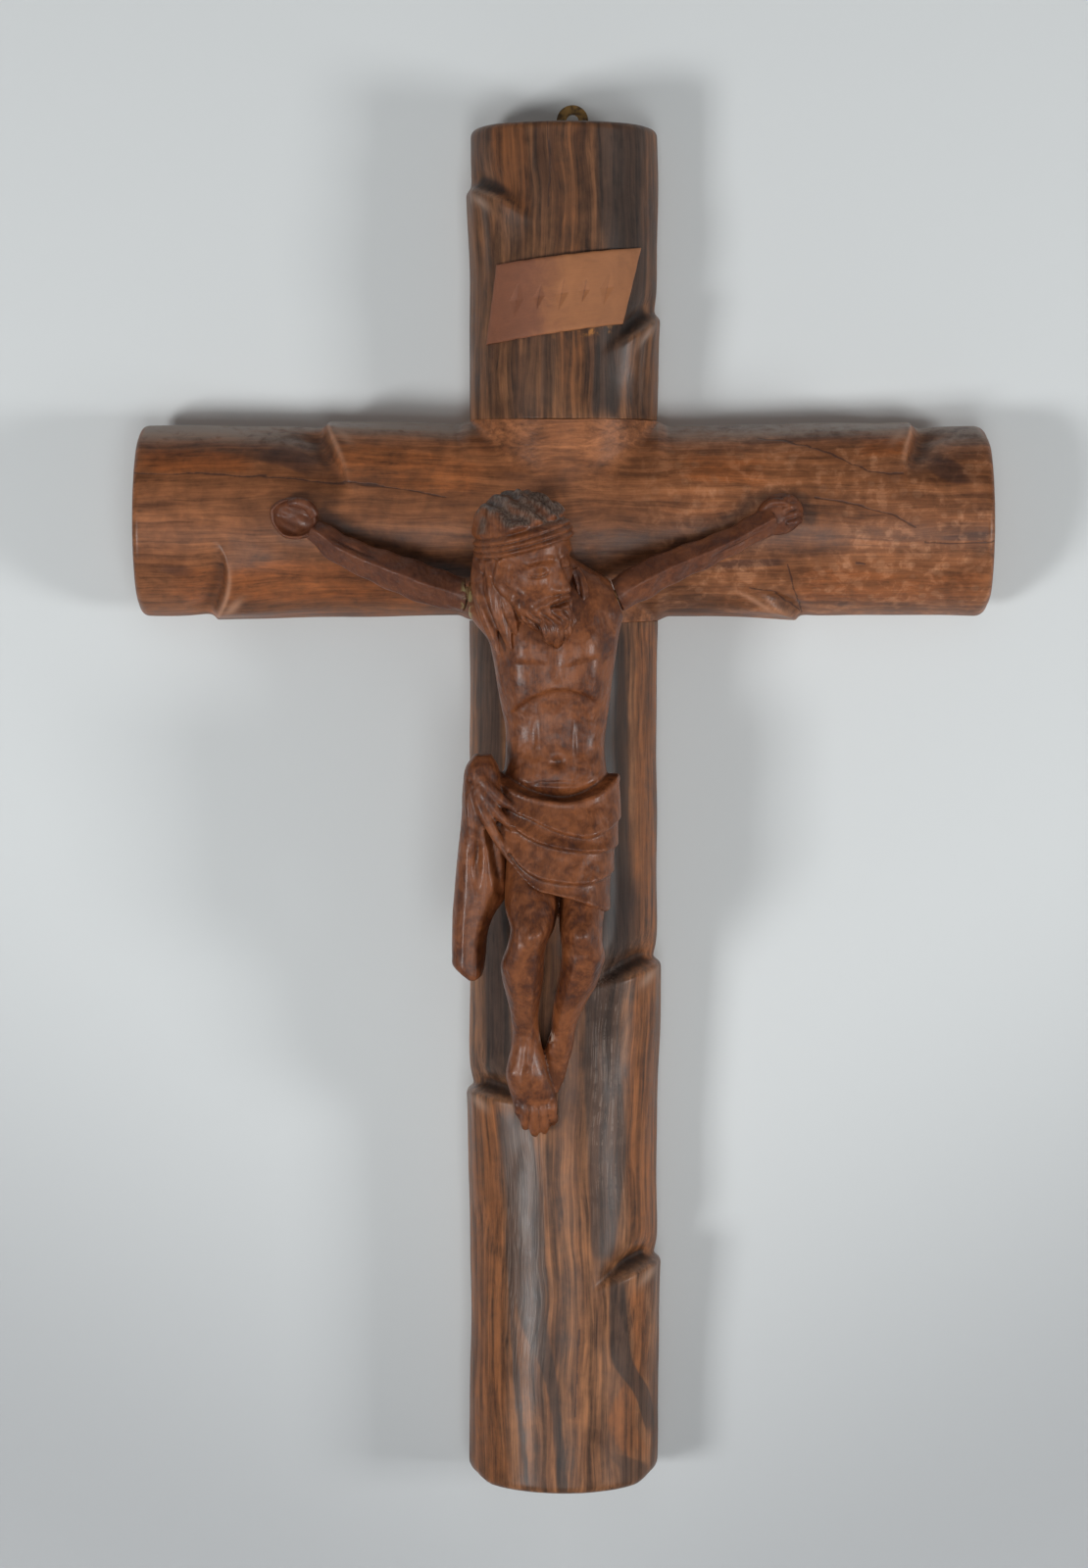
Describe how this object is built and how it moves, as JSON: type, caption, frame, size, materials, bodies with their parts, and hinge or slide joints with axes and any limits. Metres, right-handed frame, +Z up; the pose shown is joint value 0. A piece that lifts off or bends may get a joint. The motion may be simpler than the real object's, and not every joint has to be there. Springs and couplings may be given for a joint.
{
  "type": "wall crucifix",
  "caption": "Wall crucifix of half-round carved log beams in a cross lap, with a pegged wooden figure, a curved bare title plaque and a brass hanging eye that swivels.",
  "frame": {"origin": "middle of the crossing, on the flat back that lies against the wall", "axes": "+Z up along the upright, +X to the viewer's right, +Y into the wall, so the carved front faces -Y"},
  "size_m": [0.22, 0.0561, 0.356],
  "materials": {
    "upright_wood": "worn varnish over dark weathered grain",
    "cross_wood": "worn varnish",
    "plaque_wood": "bare, unfinished",
    "figure_wood": "glossy reddish-brown varnish",
    "arm_wood": "glossy dark varnish",
    "dowel_wood": "bare",
    "screw_steel": "dull",
    "eye_brass": "tarnished"
  },
  "bodies": {
    "cross": {"upright_beam": "upright_wood", "cross_beam": "cross_wood", "lap_screws": "screw_steel", "title_plaque": "plaque_wood", "corpus_body": "figure_wood", "right_arm": "arm_wood", "left_arm": "arm_wood", "right_shoulder_dowel": "dowel_wood", "left_shoulder_dowel": "dowel_wood", "corpus_screws": "screw_steel", "hanger_screw": "eye_brass"},
    "hanger": {"hanger_eye": "eye_brass"}
  },
  "joints": [
    {"name": "hanger_swivel", "type": "hinge", "parent": "cross", "child": "hanger", "pos_m": [0.0023, -0.0018, 0.0909], "axis": [0, 1, 0], "range_deg": [-20, 20]}
  ]
}
